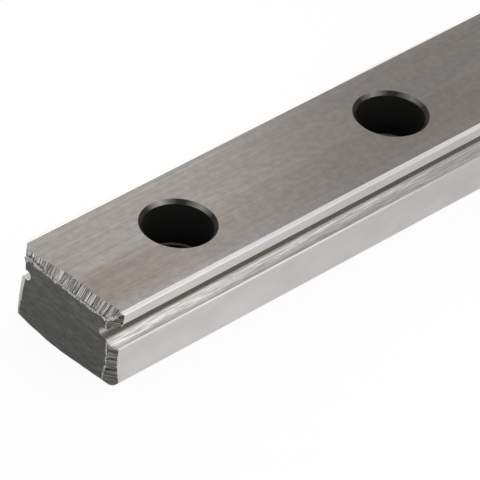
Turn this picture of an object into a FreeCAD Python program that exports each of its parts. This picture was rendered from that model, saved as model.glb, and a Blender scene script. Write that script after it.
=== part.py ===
import FreeCAD, Part
import math
import os
import Sketcher

# A profile linear guide rail: one hardened and ground steel bar, with a ball raceway
# along each side and counterbored holes that screw it down to a machine bed.
# X runs along the rail, Y across it and Z up. The origin is the middle of the base.

# Sizes in mm. Each is a cell of the sheet, and the shapes take them from there.
SIZES = {
    "rail_length": 100.0,
    "rail_width": 12.0,
    "rail_height": 7.5,
    # long edges, ground back a little
    "top_edge_width": 0.5,
    "top_edge_drop": 0.25,
    "base_edge_bevel": 0.3,
    # ball raceway: two flank arcs whose centres lie outside the bar, one above the other, so that
    # they make a pointed arch
    "raceway_drop": 2.3,
    "raceway_opening": 2.64,
    "flank_radius": 1.24,
    "flank_centre_outside": 0.18,
    "arch_offset": 0.04,
    "raceway_edge_break": 0.1,
    # narrow slot behind the balls, where the grinding wheel runs out
    "relief_slot_width": 1.0,
    "relief_slot_depth": 1.85,
    # screw holes
    "hole_pitch": 25.0,
    "first_hole_offset": 12.5,
    "screw_hole_diameter": 3.5,
    "head_recess_diameter": 6.0,
    "head_recess_depth": 4.5,
    "head_recess_bevel": 0.32,
    "base_hole_bevel": 0.2,
    # bevels round each sawn end
    "end_bevel_along_rail": 0.65,
    "end_bevel_on_end_face": 1.0,
    "base_end_bevel": 0.3,
    # how far each cut starts outside the bar
    "cut_overrun": 1.0,
}

LENGTH = SIZES["rail_length"]
WIDTH = SIZES["rail_width"]
HEIGHT = SIZES["rail_height"]
OVERRUN = SIZES["cut_overrun"]

# names for the points of a line or an arc, for the sketch's own two axes and for where they cross
START, END, CENTRE = range(1, 4)
H_AXIS, V_AXIS = range(-1, -3, -1)
ORIGIN = (H_AXIS, START)


def make_sheet(document):
    """Writes each size to a cell that carries its name."""
    sheet = document.addObject("Spreadsheet::Sheet", "sizes")
    for row, (name, value) in enumerate(SIZES.items(), start=1):
        sheet.set(f"A{row}", name.replace("_", " "))
        sheet.set(f"B{row}", str(value))
        sheet.setAlias(f"B{row}", name)


def origin_part(body, role):
    """The plane or axis of the body's own origin that has this role."""
    return next(part for part in body.Origin.OriginFeatures if part.Role == role)


def new_sketch(body, name, plane):
    """A sketch on one of the body's origin planes."""
    sketch = body.newObject("Sketcher::SketchObject", name)
    sketch.AttachmentSupport = [(origin_part(body, plane), "")]
    sketch.MapMode = "FlatFace"
    return sketch


def line(start, end):
    """A straight line between two (x, y) points."""
    return Part.LineSegment(FreeCAD.Vector(*start), FreeCAD.Vector(*end))


def arc(centre, radius, start, end):
    """A counter-clockwise arc, from the angle of one (x, y) point to that of another."""
    circle = Part.Circle(FreeCAD.Vector(*centre), FreeCAD.Vector(0, 0, 1), radius)
    first, last = (math.atan2(y - centre[1], x - centre[0]) for x, y in (start, end))
    return Part.ArcOfCircle(circle, first, last if last > first else last + 2 * math.pi)


def rule(sketch, kind, *places):
    """Adds a rule without a size, such as Horizontal or Coincident."""
    sketch.addConstraint(Sketcher.Constraint(kind, *places))


def dimension(sketch, kind, start, end, formula):
    """Ties the distance from one point to another, across or up, to the sheet."""
    offset = sketch.getPoint(*end) - sketch.getPoint(*start)
    distance = offset.x if kind == "DistanceX" else offset.y
    number = sketch.addConstraint(Sketcher.Constraint(kind, *start, *end, distance))
    sketch.setExpression(f"Constraints[{number}]", formula)


def add_polygon(sketch, corners):
    """Adds a closed outline of straight lines and returns the lines' numbers."""
    first = sketch.GeometryCount
    numbers = list(range(first, first + len(corners)))
    for start, end in zip(corners, corners[1:] + corners[:1]):
        sketch.addGeometry(line(start, end), False)
    for number, after in zip(numbers, numbers[1:] + numbers[:1]):
        rule(sketch, "Coincident", number, END, after, START)
    return numbers


def add_feature(body, kind, name, sketch):
    """A feature made from a sketch."""
    feature = body.newObject(f"PartDesign::{kind}", name)
    feature.Profile = sketch
    return feature


def add_through_cut(body, name, sketch):
    """Cuts a sketch right through the bar, both ways from its plane."""
    pocket = add_feature(body, "Pocket", name, sketch)
    pocket.SideType = "Symmetric"
    pocket.Type = "ThroughAll"
    return pocket


def add_mirror(body, name, features, plane):
    """Repeats features on the other side of one of the origin planes."""
    mirror = body.newObject("PartDesign::Mirrored", name)
    mirror.Originals = features
    mirror.MirrorPlane = (origin_part(body, plane), [""])
    body.Tip = mirror


def make_bar(body):
    """The plain bar: its section with the four long edges ground back."""
    half = WIDTH / 2
    base = SIZES["base_edge_bevel"]
    top_width = SIZES["top_edge_width"]
    top_drop = SIZES["top_edge_drop"]
    sketch = new_sketch(body, "bar_section", "YZ_Plane")
    right_side = [(half - base, 0), (half, base), (half, HEIGHT - top_drop), (half - top_width, HEIGHT)]
    left_side = [(-y, z) for y, z in reversed(right_side)]
    right_base, right, right_top, top, _, left, _, under = add_polygon(sketch, right_side + left_side)
    for level in (top, under):
        rule(sketch, "Symmetric", level, START, level, END, V_AXIS)
    rule(sketch, "Vertical", right)
    rule(sketch, "Symmetric", right, START, left, END, V_AXIS)
    rule(sketch, "Symmetric", right, END, left, START, V_AXIS)
    rule(sketch, "PointOnObject", under, START, H_AXIS)
    dimension(sketch, "DistanceX", (left, START), (right, END), "sizes.rail_width")
    dimension(sketch, "DistanceY", (under, END), (top, START), "sizes.rail_height")
    dimension(sketch, "DistanceX", (right_base, START), (right_base, END), "sizes.base_edge_bevel")
    dimension(sketch, "DistanceY", (right_base, START), (right_base, END), "sizes.base_edge_bevel")
    dimension(sketch, "DistanceX", (right_top, END), (right_top, START), "sizes.top_edge_width")
    dimension(sketch, "DistanceY", (right_top, START), (right_top, END), "sizes.top_edge_drop")
    pad = add_feature(body, "Pad", "bar", sketch)
    pad.SideType = "Symmetric"
    pad.setExpression("Length", "sizes.rail_length")


def make_raceways(body):
    """A ball raceway with its relief slot along the right side, and its mirror along the left."""
    side = WIDTH / 2
    middle = HEIGHT - SIZES["raceway_drop"]
    half_opening = SIZES["raceway_opening"] / 2
    radius = SIZES["flank_radius"]
    outset = SIZES["flank_centre_outside"]
    offset = SIZES["arch_offset"]
    edge_break = SIZES["raceway_edge_break"]
    half_slot = SIZES["relief_slot_width"] / 2
    slot_end = side - SIZES["relief_slot_depth"] + half_slot

    # the upper half of the outline, from outside the bar in to the slot
    outer = (side + OVERRUN, middle + half_opening)
    lip = (side, middle + half_opening)
    flank_outer = (side - edge_break, middle - offset + math.sqrt(radius**2 - (outset + edge_break) ** 2))
    flank_inner = (side + outset - math.sqrt(radius**2 - (offset + half_slot) ** 2), middle + half_slot)
    slot_corner = (slot_end, middle + half_slot)
    outer_low, lip_low, flank_outer_low, flank_inner_low, slot_corner_low = (
        (y, 2 * middle - z) for y, z in (outer, lip, flank_outer, flank_inner, slot_corner)
    )

    sketch = new_sketch(body, "raceway_section", "YZ_Plane")
    outline = [
        line(outer, lip),
        line(lip, flank_outer),
        arc((side + outset, middle - offset), radius, flank_outer, flank_inner),
        line(flank_inner, slot_corner),
        arc((slot_end, middle), half_slot, slot_corner, slot_corner_low),
        line(slot_corner_low, flank_inner_low),
        arc((side + outset, middle + offset), radius, flank_inner_low, flank_outer_low),
        line(flank_outer_low, lip_low),
        line(lip_low, outer_low),
        line(outer_low, outer),
    ]
    numbers = [sketch.addGeometry(edge, False) for edge in outline]
    entry, upper_break, upper_flank, upper_wall, slot_round = numbers[:5]
    lower_wall, lower_flank, lower_break, leave, outside = numbers[5:]
    for number, after in zip(numbers, numbers[1:] + numbers[:1]):
        smooth = slot_round in (number, after)
        rule(sketch, "Tangent" if smooth else "Coincident", number, END, after, START)
    for level in (entry, upper_wall, lower_wall, leave):
        rule(sketch, "Horizontal", level)
    rule(sketch, "Vertical", outside)
    rule(sketch, "Vertical", entry, END, leave, START)
    dimension(sketch, "DistanceX", ORIGIN, (entry, END), "sizes.rail_width / 2")
    dimension(sketch, "DistanceX", (entry, END), (entry, START), "sizes.cut_overrun")
    dimension(sketch, "DistanceY", ORIGIN, (slot_round, CENTRE), "sizes.rail_height - sizes.raceway_drop")
    dimension(sketch, "DistanceY", (slot_round, CENTRE), (entry, END), "sizes.raceway_opening / 2")
    dimension(sketch, "DistanceY", (leave, START), (slot_round, CENTRE), "sizes.raceway_opening / 2")
    for flank in (upper_flank, lower_flank):
        dimension(sketch, "DistanceX", (entry, END), (flank, CENTRE), "sizes.flank_centre_outside")
        number = sketch.addConstraint(Sketcher.Constraint("Radius", flank, radius))
        sketch.setExpression(f"Constraints[{number}]", "sizes.flank_radius")
    dimension(sketch, "DistanceY", (upper_flank, CENTRE), (slot_round, CENTRE), "sizes.arch_offset")
    dimension(sketch, "DistanceY", (slot_round, CENTRE), (lower_flank, CENTRE), "sizes.arch_offset")
    dimension(sketch, "DistanceX", (upper_break, END), (upper_break, START), "sizes.raceway_edge_break")
    dimension(sketch, "DistanceX", (lower_break, START), (lower_break, END), "sizes.raceway_edge_break")
    dimension(sketch, "DistanceY", (lower_wall, START), (upper_wall, END), "sizes.relief_slot_width")
    depth_to_round = "sizes.relief_slot_depth - sizes.relief_slot_width / 2"
    dimension(sketch, "DistanceX", (slot_round, CENTRE), (entry, END), depth_to_round)

    raceway = add_through_cut(body, "right_raceway", sketch)
    add_mirror(body, "left_raceway", [raceway], "XZ_Plane")


def make_screw_holes(body):
    """The first counterbored hole, turned about its own axis, and its row along the rail."""
    hole = SIZES["screw_hole_diameter"] / 2
    recess = SIZES["head_recess_diameter"] / 2
    floor = HEIGHT - SIZES["head_recess_depth"]
    top_bevel = SIZES["head_recess_bevel"]
    base_bevel = SIZES["base_hole_bevel"]
    sketch = new_sketch(body, "screw_hole_section", "XZ_Plane")
    sketch.setExpression("AttachmentOffset.Base.x", "sizes.first_hole_offset - sizes.rail_length / 2")
    # both bevels run on past the faces of the bar at 45 degrees
    corners = [
        (0, -OVERRUN),
        (hole + base_bevel + OVERRUN, -OVERRUN),
        (hole, base_bevel),
        (hole, floor),
        (recess, floor),
        (recess, HEIGHT - top_bevel),
        (recess + top_bevel + OVERRUN, HEIGHT + OVERRUN),
        (0, HEIGHT + OVERRUN),
    ]
    below, low_cone, hole_wall, seat, recess_wall, top_cone, above, axis = add_polygon(sketch, corners)
    for level in (below, seat, above):
        rule(sketch, "Horizontal", level)
    for upright in (hole_wall, recess_wall):
        rule(sketch, "Vertical", upright)
    rule(sketch, "PointOnObject", axis, START, V_AXIS)
    rule(sketch, "PointOnObject", axis, END, V_AXIS)
    dimension(sketch, "DistanceX", ORIGIN, (hole_wall, START), "sizes.screw_hole_diameter / 2")
    dimension(sketch, "DistanceX", ORIGIN, (recess_wall, START), "sizes.head_recess_diameter / 2")
    dimension(sketch, "DistanceY", (below, START), ORIGIN, "sizes.cut_overrun")
    dimension(sketch, "DistanceY", ORIGIN, (hole_wall, START), "sizes.base_hole_bevel")
    dimension(sketch, "DistanceY", ORIGIN, (seat, START), "sizes.rail_height - sizes.head_recess_depth")
    dimension(sketch, "DistanceY", ORIGIN, (top_cone, START), "sizes.rail_height - sizes.head_recess_bevel")
    dimension(sketch, "DistanceY", ORIGIN, (above, START), "sizes.rail_height + sizes.cut_overrun")
    low_reach = "sizes.base_hole_bevel + sizes.cut_overrun"
    dimension(sketch, "DistanceX", (low_cone, END), (low_cone, START), low_reach)
    top_reach = "sizes.head_recess_bevel + sizes.cut_overrun"
    dimension(sketch, "DistanceX", (top_cone, START), (top_cone, END), top_reach)

    first_hole = add_feature(body, "Groove", "first_screw_hole", sketch)
    first_hole.ReferenceAxis = (sketch, ["V_Axis"])
    first_hole.Angle = 360
    row = body.newObject("PartDesign::LinearPattern", "screw_hole_row")
    row.Originals = [first_hole]
    row.Direction = (origin_part(body, "X_Axis"), [""])
    row.Mode = "Spacing"
    row.setExpression("Offset", "sizes.hole_pitch")
    # as many whole pitches as leave at least the first hole's offset at the far end
    free_length = "(sizes.rail_length - 2 * sizes.first_hole_offset)"
    row.setExpression("Occurrences", f"floor({free_length} / sizes.hole_pitch + 0.001) + 1")
    body.Tip = row


def add_end_bevel(sketch, edge, outward, along, on_face, names):
    """Draws what a bevel takes off the rail's +X end at one edge of its side view.

    edge is the height of the beveled edge in the sketch, and outward is 1 or -1, the way
    that the bar ends there. names holds the two leg names and the edge's own size.
    """
    end = LENGTH / 2
    corners = [
        (end - along, edge),
        (end - along, edge + outward * OVERRUN),
        (end + OVERRUN, edge + outward * OVERRUN),
        (end + OVERRUN, edge - outward * on_face),
        (end, edge - outward * on_face),
    ]
    inner, outer, outside, back, bevel = add_polygon(sketch, corners)
    for upright in (inner, outside):
        rule(sketch, "Vertical", upright)
    for level in (outer, back):
        rule(sketch, "Horizontal", level)
    along_name, face_name, edge_formula = names
    dimension(sketch, "DistanceX", ORIGIN, (bevel, START), "sizes.rail_length / 2")
    dimension(sketch, "DistanceX", (bevel, END), (bevel, START), along_name)
    dimension(sketch, "DistanceX", (back, END), (back, START), "sizes.cut_overrun")
    legs = [((bevel, START), (bevel, END)), ((inner, START), (inner, END))]
    for (low, high), formula in zip(legs, (face_name, "sizes.cut_overrun")):
        dimension(sketch, "DistanceY", *((low, high) if outward > 0 else (high, low)), formula)
    if edge_formula:
        places = (ORIGIN, (inner, START)) if edge > 0 else ((inner, START), ORIGIN)
        dimension(sketch, "DistanceY", *places, edge_formula)
    else:
        rule(sketch, "PointOnObject", inner, START, H_AXIS)


def make_end_bevels(body):
    """Bevels round the whole outline of the +X end, and their mirror at the other end."""
    along = SIZES["end_bevel_along_rail"]
    on_face = SIZES["end_bevel_on_end_face"]
    base = SIZES["base_end_bevel"]
    leg_names = ("sizes.end_bevel_along_rail", "sizes.end_bevel_on_end_face")
    base_names = ("sizes.base_end_bevel", "sizes.base_end_bevel", "")

    side_view = new_sketch(body, "end_bevels_side_view", "XZ_Plane")
    add_end_bevel(side_view, HEIGHT, 1, along, on_face, (*leg_names, "sizes.rail_height"))
    add_end_bevel(side_view, 0.0, -1, base, base, base_names)
    top_and_base = add_through_cut(body, "top_and_base_end_bevels", side_view)

    top_view = new_sketch(body, "end_bevels_top_view", "XY_Plane")
    for outward in (1, -1):
        names = (*leg_names, "sizes.rail_width / 2")
        add_end_bevel(top_view, outward * WIDTH / 2, outward, along, on_face, names)
    sides = add_through_cut(body, "side_end_bevels", top_view)
    add_mirror(body, "far_end_bevels", [top_and_base, sides], "YZ_Plane")


def check(document, body):
    """Stops if anything failed, a sketch is loose or a cut took nothing off."""
    for item in document.Objects:
        if "Invalid" in item.State or "Error" in item.State:
            raise RuntimeError(f"{item.Name} failed: {item.State}")
        if item.TypeId == "Sketcher::SketchObject" and not item.FullyConstrained:
            raise RuntimeError(f"{item.Name} isn't fully constrained")
    features = [item for item in body.Group if item.TypeId.startswith("PartDesign::")]
    for before, after in zip(features, features[1:]):
        if after.Shape.Volume >= before.Shape.Volume:
            raise RuntimeError(f"{after.Name} cut nothing")
    shape = body.Shape
    if shape.isNull() or not shape.isValid() or len(shape.Solids) != 1:
        raise RuntimeError("the rail isn't one valid solid")


document = FreeCAD.newDocument("guide_rail")
make_sheet(document)
rail = document.addObject("PartDesign::Body", "rail_body")
rail.Label = "rail"
make_bar(rail)
make_raceways(rail)
make_screw_holes(rail)
make_end_bevels(rail)
document.recompute()
check(document, rail)

os.makedirs("parts", exist_ok=True)
rail.Shape.exportStep(f"parts/{rail.Label}.step")
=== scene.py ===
"""The looks of a profile linear guide rail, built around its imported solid.

The rail is one bar of hardened steel: ground faces, a ball raceway with a relief slot along
each side, counterbored screw holes, and ends that are beveled by hand on an abrasive belt.
X runs along the rail, Y across it and Z up, in metres. The photographed end is at -X.
"""

import logging
import math
from collections.abc import Callable, Iterator, Sequence
from contextlib import contextmanager
from dataclasses import dataclass
from enum import Enum, IntEnum

import bpy
from mathutils import Matrix, Vector, noise


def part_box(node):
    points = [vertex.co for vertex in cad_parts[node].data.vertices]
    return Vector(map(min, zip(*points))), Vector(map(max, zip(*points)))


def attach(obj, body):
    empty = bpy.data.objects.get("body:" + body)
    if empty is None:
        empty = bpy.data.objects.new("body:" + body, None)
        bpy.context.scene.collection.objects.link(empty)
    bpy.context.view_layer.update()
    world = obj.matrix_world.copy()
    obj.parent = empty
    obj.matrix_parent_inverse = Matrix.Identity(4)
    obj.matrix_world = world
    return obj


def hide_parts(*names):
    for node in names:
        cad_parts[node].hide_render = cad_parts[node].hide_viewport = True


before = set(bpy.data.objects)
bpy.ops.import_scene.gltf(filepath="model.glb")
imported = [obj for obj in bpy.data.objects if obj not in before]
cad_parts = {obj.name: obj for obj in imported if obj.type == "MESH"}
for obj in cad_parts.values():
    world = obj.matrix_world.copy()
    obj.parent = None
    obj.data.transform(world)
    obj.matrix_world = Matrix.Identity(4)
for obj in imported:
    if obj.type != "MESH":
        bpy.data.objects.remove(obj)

log = logging.getLogger("guide_rail")
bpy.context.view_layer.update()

MM = 0.001
BODY = "root"
NODE = "rail"
SMOOTH_ANGLE = math.radians(32)
BURR_SMOOTH_ANGLE = math.radians(60)
# points closer than this are one point
SAME_PLACE = 1e-7
# the least that a level face's normal has along Z
LEVEL = 0.99
# the size of a cloud texture's features, as a share of its gauge
CLOUD_SCALE = 0.25

Colour = tuple[float, float, float]
Triple = tuple[float, float, float]
Piece = bpy.types.Object
Socket = bpy.types.NodeSocket
# the Mix node's factor, its two colours and its result, by number
MIX_COLOUR_INPUTS = (0, 6, 7)
MIX_COLOUR_OUTPUT = 2
FaceTest = Callable[[bpy.types.MeshPolygon], bool]
EdgeTest = Callable[[bpy.types.MeshEdge], bool]


class Finish(IntEnum):
    """The rail's finishes, in the order of its material slots."""

    TOP = 0
    SIDE = 1
    TOP_EDGE = 2
    FLANK = 3
    UPPER_FLANK = 4
    LIP = 5
    SLOT = 6
    HOLE_MOUTH = 7
    RECESS = 8
    RECESS_FLOOR = 9
    END_FACE = 10
    TOP_BEVEL = 11
    SIDE_BEVEL = 12
    NARROW_BEVEL = 13
    BASE_BEVEL = 14
    BURR = 15
    BASE = 16


def take(piece: Piece) -> None:
    """Deselects everything and makes the piece the active one.

    Args:
        piece: The object that the next operators act on.
    """
    bpy.ops.object.select_all(action="DESELECT")
    piece.select_set(True)
    bpy.context.view_layer.objects.active = piece


@contextmanager
def editing(piece: Piece, kind: str = "FACE", everything: bool = False) -> Iterator[None]:
    """Opens a piece in edit mode, with what was selected in it by code.

    Args:
        piece: The mesh object to edit.
        kind: The selection mode, VERT, EDGE or FACE.
        everything: Whether all of it is selected instead.

    Yields:
        Nothing; the operators in the block act on the piece.
    """
    take(piece)
    bpy.context.tool_settings.mesh_select_mode = [kind == each for each in ("VERT", "EDGE", "FACE")]
    bpy.ops.object.mode_set(mode="EDIT")
    if everything:
        bpy.ops.mesh.select_all(action="SELECT")
    yield
    bpy.ops.object.mode_set(mode="OBJECT")


def select_edges(piece: Piece, test: EdgeTest) -> None:
    """Selects the edges that pass a test, and nothing else.

    Args:
        piece: The mesh object.
        test: Says whether an edge is wanted.
    """
    mesh = piece.data
    for items in (mesh.vertices, mesh.edges, mesh.polygons):
        items.foreach_set("select", [False] * len(items))
    for edge in mesh.edges:
        edge.select = test(edge)


def finishes_by_edge(mesh: bpy.types.Mesh) -> dict[tuple[int, int], set[int]]:
    """Looks up which finishes meet at each edge.

    Args:
        mesh: The mesh.

    Returns:
        The finishes' numbers, by the edge's key.
    """
    finishes: dict[tuple[int, int], set[int]] = {}
    for face in mesh.polygons:
        for key in face.edge_keys:
            finishes.setdefault(key, set()).add(face.material_index)
    return finishes


def set_finish(piece: Piece, finish: Finish, test: FaceTest | None = None) -> None:
    """Gives faces one of the rail's finishes.

    Args:
        piece: The mesh object.
        finish: The finish of these faces.
        test: Says whether a face gets it. Every face does if this is left out.
    """
    if not piece.data.materials:
        for each in Finish:
            piece.data.materials.append(bpy.data.materials[STEELS[each].name])
    for face in piece.data.polygons:
        if test is None or test(face):
            face.material_index = int(finish)


def fix_place(piece: Piece) -> None:
    """Puts an object's place, turn and scale into its mesh, and the object at the origin."""
    take(piece)
    bpy.ops.object.transform_apply(location=True, rotation=True, scale=True)


def turn_outwards(piece: Piece) -> None:
    """Merges doubled points and points every face outwards.

    Args:
        piece: The closed mesh object.
    """
    with editing(piece, "VERT", everything=True):
        bpy.ops.mesh.remove_doubles(threshold=SAME_PLACE)
        bpy.ops.mesh.normals_make_consistent(inside=False)
        bpy.ops.mesh.select_all(action="DESELECT")


def apply_modifiers(piece: Piece) -> None:
    """Applies a piece's modifiers in their order.

    Args:
        piece: The object with the modifiers.
    """
    take(piece)
    for modifier in list(piece.modifiers):
        bpy.ops.object.modifier_apply(modifier=modifier.name)


def add_object(name: str, data: bpy.types.ID | None) -> Piece:
    """Adds an object with given data, or an empty, to the scene."""
    item = bpy.data.objects.new(name, data)
    bpy.context.scene.collection.objects.link(item)
    return item


@contextmanager
def helper(name: str, data: bpy.types.ID | None) -> Iterator[Piece]:
    """Puts an object into the scene for as long as a modifier needs it.

    Args:
        name: The object's name.
        data: What it shows, or nothing for an empty.

    Yields:
        The object, which is deleted after the block.
    """
    item = add_object(name, data)
    bpy.context.view_layer.update()
    yield item
    bpy.data.objects.remove(item, do_unlink=True)


def cut_with(piece: Piece, tool: Piece) -> None:
    """Cuts a tool's shape out of a piece, which gets the tool's finishes there, and deletes the tool.

    Args:
        piece: The closed mesh that is cut.
        tool: The closed mesh that it is cut with, with the same material slots.
    """
    modifier = piece.modifiers.new("cut", "BOOLEAN")
    modifier.operation = "DIFFERENCE"
    modifier.object = tool
    modifier.solver = "MANIFOLD"
    modifier.material_mode = "INDEX"
    apply_modifiers(piece)
    bpy.data.objects.remove(tool, do_unlink=True)


def copy_of(piece: Piece, name: str) -> Piece:
    """Copies a piece at the origin, with its own mesh."""
    return add_object(name, piece.data.copy())


def add_box(name: str, low: Triple, high: Triple) -> Piece:
    """Adds a box between two corners.

    Args:
        name: The object's name.
        low: The lowest corner.
        high: The highest corner.

    Returns:
        The box, at the origin.
    """
    centre = [(a + b) / 2 for a, b in zip(low, high)]
    bpy.ops.mesh.primitive_cube_add(size=1, location=centre, scale=[b - a for a, b in zip(low, high)])
    box = bpy.context.object
    box.name = name
    fix_place(box)
    return box


def draw_outline(name: str, corners: Sequence[Triple]) -> Piece:
    """Draws a line of edges from corner to corner.

    Args:
        name: The object's name.
        corners: The corners in their order.

    Returns:
        The line as a mesh object.
    """
    bpy.ops.mesh.primitive_plane_add(size=MM, location=corners[0])
    outline = bpy.context.object
    outline.name = name
    fix_place(outline)
    with editing(outline, "VERT", everything=True):
        bpy.ops.mesh.merge(type="CENTER")
        for start, end in zip(corners, corners[1:]):
            step = [b - a for a, b in zip(start, end)]
            bpy.ops.mesh.extrude_vertices_move(TRANSFORM_OT_translate={"value": step})
    return outline


def fill_and_extrude(outline: Piece, step: Sequence[float]) -> Piece:
    """Fills a closed outline and draws it out to a solid.

    Args:
        outline: The outline.
        step: How far and which way it is drawn out.

    Returns:
        The solid.
    """
    with editing(outline, "VERT", everything=True):
        bpy.ops.mesh.edge_face_add()
    extrude_all(outline, step)
    return outline


def extrude_all(piece: Piece, step: Sequence[float]) -> None:
    """Draws a whole surface out to a closed solid.

    Args:
        piece: The open surface.
        step: How far and which way it is drawn out.
    """
    with editing(piece, everything=True):
        bpy.ops.mesh.extrude_region_move(TRANSFORM_OT_translate={"value": step})
    turn_outwards(piece)


class Nodes:
    """Writes a node tree as short calls."""

    def __init__(self, tree: bpy.types.NodeTree) -> None:
        """Starts with an empty tree."""
        self.tree = tree
        tree.nodes.clear()

    def add(self, kind: str, inputs: dict | None = None, **settings: object) -> bpy.types.Node:
        """Adds a node.

        Args:
            kind: The node's type name.
            inputs: Values or output sockets for its inputs, by name or number.
            settings: The node's own properties.

        Returns:
            The new node.
        """
        node = self.tree.nodes.new(kind)
        for key, value in settings.items():
            setattr(node, key, value)
        for key, value in (inputs or {}).items():
            if isinstance(value, Socket):
                self.tree.links.new(value, node.inputs[key])
            else:
                node.inputs[key].default_value = value
        return node

    def math(self, operation: str, first: object, second: object) -> Socket:
        """Adds a Math node and returns its result."""
        return self.add("ShaderNodeMath", {0: first, 1: second}, operation=operation).outputs[0]

    def distance(self, value: object, middle: float) -> Socket:
        """How far a value is from a number."""
        return self.math("ABSOLUTE", self.math("SUBTRACT", value, middle), 0.0)

    def place(self) -> Socket:
        """The place on the object, in metres."""
        return self.add("ShaderNodeTexCoord").outputs["Object"]

    def axis(self, name: str) -> Socket:
        """One coordinate of the place on the object: X, Y or Z."""
        return self.add("ShaderNodeSeparateXYZ", {0: self.place()}).outputs[name]

    def count(self, per_metre: object) -> Socket:
        """The place on the object, counted in features per metre along each axis."""
        inputs = {0: self.place(), 1: per_metre}
        return self.add("ShaderNodeVectorMath", inputs, operation="MULTIPLY").outputs[0]

    def noise(self, vector: object, detail: float, roughness: float = 0.5) -> Socket:
        """Adds a noise texture and returns its value."""
        inputs = {"Vector": vector, "Scale": 1.0, "Detail": detail, "Roughness": roughness}
        return self.add("ShaderNodeTexNoise", inputs).outputs["Fac"]

    def group(self, name: str, inputs: dict) -> bpy.types.NodeOutputs:
        """Adds one of the shared groups and returns its outputs."""
        return self.add("ShaderNodeGroup", inputs, node_tree=bpy.data.node_groups[name]).outputs

    def spread(
        self, value: object, low: object, high: object, to_low: float, to_high: float
    ) -> Socket:
        """Maps a range of values to another and clamps it.

        Args:
            value: The socket to map.
            low: The value that gives to_low.
            high: The value that gives to_high.
            to_low: The first result.
            to_high: The last result.

        Returns:
            The mapped value.
        """
        names = ("Value", "From Min", "From Max", "To Min", "To Max")
        node = self.add("ShaderNodeMapRange", dict(zip(names, (value, low, high, to_low, to_high))))
        return node.outputs["Result"]

    def tint(self, mask: object, colour: object, gain: Colour) -> Socket:
        """Multiplies a colour by a gain, as far as a mask says."""
        return self.blend(mask, colour, (*gain, 1.0), "MULTIPLY")

    def blend(self, factor: object, first: object, second: object, kind: str = "MIX") -> Socket:
        """Mixes two colours.

        Args:
            factor: How much of the second colour there is.
            first: The colour at factor 0.
            second: The colour that it is mixed with.
            kind: MIX, or MULTIPLY for a colour that is multiplied by the second.

        Returns:
            The mixed colour.
        """
        inputs = dict(zip(MIX_COLOUR_INPUTS, (factor, first, second)))
        node = self.add("ShaderNodeMix", inputs, data_type="RGBA", blend_type=kind)
        return node.outputs[MIX_COLOUR_OUTPUT]


def new_group(
    name: str, inputs: dict[str, str], outputs: Sequence[str]
) -> tuple[Nodes, bpy.types.Node, bpy.types.Node]:
    """Starts a shader node group whose outputs are values.

    Args:
        name: The group's name.
        inputs: The socket type of each input, by its name.
        outputs: The names of its outputs.

    Returns:
        The group's node writer, and its input and output nodes.
    """
    group = bpy.data.node_groups.new(name, "ShaderNodeTree")
    for label, kind in inputs.items():
        group.interface.new_socket(name=label, in_out="INPUT", socket_type=kind)
    for label in outputs:
        group.interface.new_socket(name=label, in_out="OUTPUT", socket_type="NodeSocketFloat")
    nodes = Nodes(group)
    return nodes, nodes.add("NodeGroupInput"), nodes.add("NodeGroupOutput")


def make_noise_group(
    name: str, detail: float, roughness: float, masks: Sequence[tuple[str, float, float]]
) -> None:
    """Makes a group of two soft masks from the same noise.

    Args:
        name: The group's name.
        detail: How many finer layers the noise has.
        roughness: How strong those layers are.
        masks: The name of each mask, what multiplies the place in the noise and what is added to it.
    """
    inputs = {"Per Metre": "NodeSocketVector", "Softness": "NodeSocketFloat"}
    nodes, given, result = new_group(name, inputs, [label for label, _, _ in masks])
    low = nodes.math("SUBTRACT", 0.5, given.outputs["Softness"])
    high = nodes.math("ADD", 0.5, given.outputs["Softness"])
    counted = nodes.count(given.outputs["Per Metre"])
    for label, scale, shift in masks:
        moved = nodes.add(
            "ShaderNodeVectorMath", {0: counted, 1: [scale] * 3, 2: [shift] * 3}, operation="MULTIPLY_ADD"
        )
        value = nodes.noise(moved.outputs[0], detail, roughness)
        nodes.tree.links.new(nodes.spread(value, low, high, 0.0, 1.0), result.inputs[label])


def make_ridge_group() -> None:
    """Makes the group of belt marks: ridges side by side, a few of them dark, and the grooves between."""
    groove_width, ridge_contrast = (0.02, 0.14), 2.0
    nodes, given, result = new_group("belt_ridges", {"Per Metre": "NodeSocketVector"}, ["Ridges", "Grooves"])
    counted = {"Vector": nodes.count(given.outputs["Per Metre"]), "Scale": 1.0}
    cells = nodes.add("ShaderNodeTexVoronoi", counted, feature="F1")
    even = nodes.add("ShaderNodeSeparateColor", {0: cells.outputs["Color"]}).outputs[0]
    borders = nodes.add("ShaderNodeTexVoronoi", counted, feature="DISTANCE_TO_EDGE")
    ridges = nodes.math("POWER", even, ridge_contrast)
    grooves = nodes.spread(borders.outputs["Distance"], *groove_width, 1.0, 0.0)
    nodes.tree.links.new(ridges, result.inputs["Ridges"])
    nodes.tree.links.new(grooves, result.inputs["Grooves"])


@dataclass(frozen=True)
class Shade:
    """A change of a finish's colour along one axis.

    Attributes:
        axis: X, Y or Z.
        gain: What it multiplies the colour by.
        none_at: How far from its middle nothing of it is left.
        full_at: How far from its middle it has its full strength.
        middle: Where its middle is on the axis.
    """

    axis: str
    gain: Colour
    none_at: float
    full_at: float
    middle: float = 0.0

    def apply(self, nodes: Nodes, colour: object) -> Socket:
        """Returns the shaded colour."""
        away = nodes.distance(nodes.axis(self.axis), self.middle)
        return nodes.tint(nodes.spread(away, self.none_at, self.full_at, 0.0, 1.0), colour, self.gain)


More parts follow.
